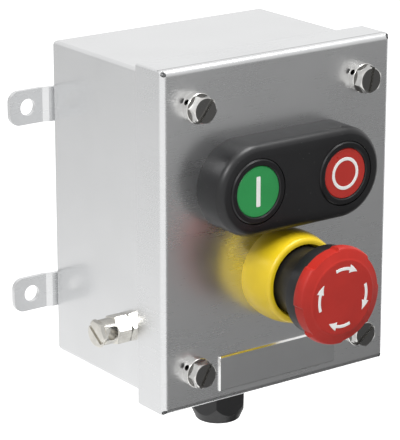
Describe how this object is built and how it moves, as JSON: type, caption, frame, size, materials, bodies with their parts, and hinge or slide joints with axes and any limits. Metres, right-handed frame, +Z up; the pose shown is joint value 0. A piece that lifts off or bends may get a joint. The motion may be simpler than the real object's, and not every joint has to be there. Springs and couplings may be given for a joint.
{
  "type": "explosion-proof control station",
  "caption": "Wall-mounted stainless steel control station with a double pushbutton, a mushroom emergency stop, a lift-off cover, mounting lugs, an earth terminal and a cable gland.",
  "frame": {"origin": "centre of the four lug holes, on the plane of the wall that the lugs rest on", "axes": "+X right when the front is looked at, +Y into the wall (the front faces -Y), +Z up"},
  "size_m": [0.146, 0.1285, 0.1661],
  "materials": {
    "stainless_sheet": "satin, fine grain",
    "stainless_screw": "bright turned",
    "nickel_plated": "nickel plated",
    "turned_steel": "turned",
    "spring_steel": "drawn wire",
    "plate_metal": "satin face, bright bevel",
    "black_plastic": "fine moulded grain",
    "gland_plastic": "satin moulded",
    "grey_plastic": "satin moulded",
    "natural_plastic": "satin moulded",
    "green_plastic": "semi-gloss",
    "red_plastic": "semi-gloss",
    "head_red_plastic": "satin moulded",
    "yellow_plastic": "semi-gloss",
    "black_rubber": "matt"
  },
  "bodies": {
    "enclosure": {"enclosure_body": "stainless_sheet", "corner_brackets": "stainless_sheet", "upper_mounting_strap": "stainless_sheet", "lower_mounting_strap": "stainless_sheet", "earth_terminal": "nickel_plated", "earth_clamp_screw": "nickel_plated", "earth_washer": "nickel_plated", "earth_nut": "nickel_plated", "gland_body": "gland_plastic", "gland_gasket": "black_rubber", "gland_seal": "black_rubber", "gland_dome_nut": "gland_plastic", "gland_lock_nut": "gland_plastic"},
    "cover_unit": {"cover": "stainless_sheet", "cover_gasket": "black_rubber", "cover_screws": "stainless_screw", "screw_retainers": "natural_plastic", "blank_plate": "plate_metal", "button_housing": "black_plastic", "housing_gasket": "black_rubber", "stem_seals": "black_rubber", "button_lock_nuts": "nickel_plated", "terminal_screws": "nickel_plated", "estop_collar": "yellow_plastic", "estop_gasket": "black_rubber", "estop_bushing": "black_plastic", "estop_lock_nut": "nickel_plated", "estop_seal": "black_rubber", "estop_contact_block": "grey_plastic", "start_contact_block": "grey_plastic", "stop_contact_block": "grey_plastic", "estop_spring": "spring_steel", "start_spring": "spring_steel", "stop_spring": "spring_steel"},
    "start_button": {"start_cap": "black_plastic", "start_disc": "green_plastic", "start_stem": "natural_plastic"},
    "stop_button": {"stop_cap": "black_plastic", "stop_disc": "red_plastic", "stop_stem": "natural_plastic"},
    "estop_plunger": {"estop_shaft": "turned_steel"},
    "estop_knob": {"estop_skirt": "black_plastic", "estop_head": "head_red_plastic"}
  },
  "joints": [
    {"name": "cover_lift", "type": "slide", "parent": "enclosure", "child": "cover_unit", "axis": [0, -1, 0], "range_m": [0, 0.06]},
    {"name": "start_press", "type": "slide", "parent": "cover_unit", "child": "start_button", "axis": [0, 1, 0], "range_m": [0, 0.004], "stiffness_N_per_m": 1000, "springref_m": -0.002, "deforming": ["start_spring"]},
    {"name": "stop_press", "type": "slide", "parent": "cover_unit", "child": "stop_button", "axis": [0, 1, 0], "range_m": [0, 0.004], "stiffness_N_per_m": 1000, "springref_m": -0.002, "deforming": ["stop_spring"]},
    {"name": "estop_press", "type": "slide", "parent": "cover_unit", "child": "estop_plunger", "axis": [0, 1, 0], "range_m": [0, 0.0055], "deforming": ["estop_spring"]},
    {"name": "estop_turn", "type": "hinge", "parent": "estop_plunger", "child": "estop_knob", "pos_m": [0, -0.12, -0.02], "axis": [0, 1, 0], "range_deg": [0, 45], "stiffness_Nm_per_rad": 0.05}
  ]
}
